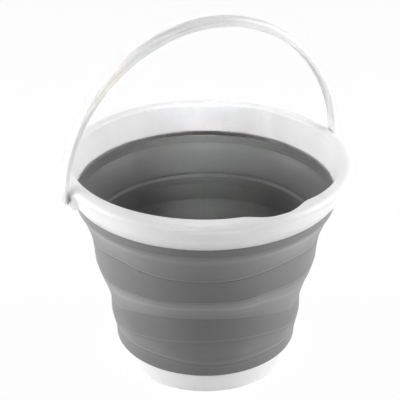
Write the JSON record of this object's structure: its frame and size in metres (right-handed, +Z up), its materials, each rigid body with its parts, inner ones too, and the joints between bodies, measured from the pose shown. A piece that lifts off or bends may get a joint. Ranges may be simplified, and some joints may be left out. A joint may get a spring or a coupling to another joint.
{
  "type": "collapsible camp bucket",
  "caption": "Bucket with a white collar and pouring spout, a grey body that folds down in nested rings, a white base and a swinging bail.",
  "frame": {"origin": "centre of the face that the bucket stands on", "axes": "+Z up through the mouth, X along the bail's pivots, the pouring spout towards -Y"},
  "size_m": [0.329, 0.315, 0.3956],
  "materials": {
    "white_plastic": "satin injection-moulded polypropylene",
    "grey_elastomer": "matt moulded thermoplastic elastomer"
  },
  "bodies": {
    "base": {"base_pan": "white_plastic", "base_band": "grey_elastomer", "lower_fold": "grey_elastomer"},
    "middle": {"middle_ring": "grey_elastomer", "middle_fold": "grey_elastomer"},
    "upper": {"upper_ring": "grey_elastomer", "upper_fold": "grey_elastomer"},
    "rim": {"rim_collar": "white_plastic", "rim_band": "grey_elastomer"},
    "bail": {"bail_handle": "white_plastic"}
  },
  "joints": [
    {"name": "lower_fold_slide", "type": "slide", "parent": "base", "child": "middle", "axis": [0, 0, -1], "range_m": [0, 0.042], "deforming": ["lower_fold"]},
    {"name": "middle_fold_slide", "type": "slide", "parent": "middle", "child": "upper", "axis": [0, 0, -1], "range_m": [0, 0.07], "deforming": ["middle_fold"]},
    {"name": "upper_fold_slide", "type": "slide", "parent": "upper", "child": "rim", "axis": [0, 0, -1], "range_m": [0, 0.067], "deforming": ["upper_fold"]},
    {"name": "bail_hinge", "type": "hinge", "parent": "rim", "child": "bail", "pos_m": [0, 0, 0.2275], "axis": [1, 0, 0], "range_deg": [-120, 120]}
  ]
}
